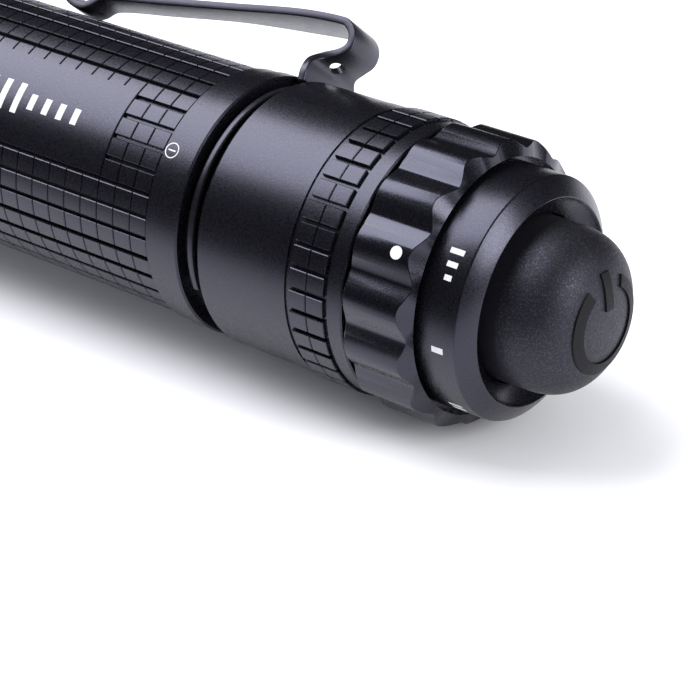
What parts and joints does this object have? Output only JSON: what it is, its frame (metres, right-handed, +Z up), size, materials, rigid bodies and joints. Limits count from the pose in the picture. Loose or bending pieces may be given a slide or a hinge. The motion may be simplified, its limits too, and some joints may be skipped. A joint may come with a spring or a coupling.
{
  "type": "tactical flashlight",
  "caption": "Pocket tactical flashlight with a crenellated bezel, knurled tube, steel clip, fluted mode ring and domed rubber tail button.",
  "frame": {"origin": "bottom centre of the bounding box, on the head's lower anti-roll flat", "axes": "X along the beam axis, beam towards -X and tail towards +X, +Z up"},
  "size_m": [0.1448, 0.0318, 0.0315],
  "materials": {
    "anodised_black": "hard-anodised black, fine satin grain",
    "anodised_ring": "hard-anodised black, slightly glossier",
    "spring_steel_black": "black satin coating on spring steel",
    "rubber_black": "matte, fine moulded grain",
    "seal_rubber": "smooth, lightly greased",
    "lens_glass": "coated clear glass",
    "mirror_aluminium": "vacuum-metallised mirror",
    "brass": "machined",
    "spring_steel": "drawn wire",
    "circuit_board": "green solder mask",
    "board_white": "white-coated metal-core board",
    "led_yellow": "phosphor under clear silicone",
    "white_plastic": "moulded",
    "dark_plastic": "moulded",
    "cell_wrap": "shrink wrap",
    "ceramic_white": "polished",
    "magnet_nickel": "nickel plated",
    "wire_red": "insulation",
    "wire_black": "insulation"
  },
  "bodies": {
    "light": {"bezel_ring": "anodised_black", "glass_breaker_bead_1": "ceramic_white", "glass_breaker_bead_2": "ceramic_white", "glass_breaker_bead_3": "ceramic_white", "bezel_seal": "seal_rubber", "lens": "lens_glass", "lens_seal": "seal_rubber", "reflector": "mirror_aluminium", "led_emitter": "led_yellow", "led_centering_ring": "white_plastic", "led_board": "board_white", "head_housing": "anodised_black", "led_lead_positive": "wire_red", "led_lead_negative": "wire_black", "driver_board": "circuit_board", "driver_retaining_ring": "brass", "positive_contact": "brass", "body_tube": "anodised_black", "tube_front_seal": "seal_rubber", "tube_rear_seal": "seal_rubber", "battery_cell": "cell_wrap", "battery_tip": "spring_steel", "battery_insulator": "white_plastic"},
    "clip": {"pocket_clip": "spring_steel_black"},
    "tail": {"tail_cap": "anodised_black", "ring_front_seal": "seal_rubber", "ring_rear_seal": "seal_rubber", "detent_ball": "spring_steel", "detent_spring": "spring_steel", "hall_sensor": "dark_plastic", "switch_retaining_ring": "brass", "switch_contact_board": "circuit_board", "switch_housing": "dark_plastic", "negative_spring": "spring_steel", "tail_collar": "anodised_black", "plunger_spring": "spring_steel"},
    "mode_ring": {"rotary_ring": "anodised_ring", "ring_magnet": "magnet_nickel"},
    "button": {"rubber_button": "rubber_black"},
    "plunger": {"switch_plunger": "white_plastic"}
  },
  "joints": [
    {"name": "clip_swivel", "type": "hinge", "parent": "light", "child": "clip", "pos_m": [0.034, 0, 0.0151], "axis": [1, 0, 0], "continuous": true},
    {"name": "tail_cap_unscrew", "type": "slide", "parent": "light", "child": "tail", "axis": [1, 0, 0], "range_m": [0, 0.012], "deforming": ["negative_spring"]},
    {"name": "mode_ring_turn", "type": "hinge", "parent": "tail", "child": "mode_ring", "pos_m": [0.0565, 0, 0.0151], "axis": [1, 0, 0], "range_deg": [0, 73]},
    {"name": "button_press", "type": "slide", "parent": "tail", "child": "button", "axis": [-1, 0, 0], "range_m": [0, 0.0018], "stiffness_N_per_m": 1500, "springref_m": -0.0003},
    {"name": "plunger_push", "type": "slide", "parent": "tail", "child": "plunger", "axis": [-1, 0, 0], "range_m": [0, 0.0018], "deforming": ["plunger_spring"]}
  ],
  "couplings": [
    {"joint": "plunger_push", "follows": "button_press", "ratio": 1}
  ]
}
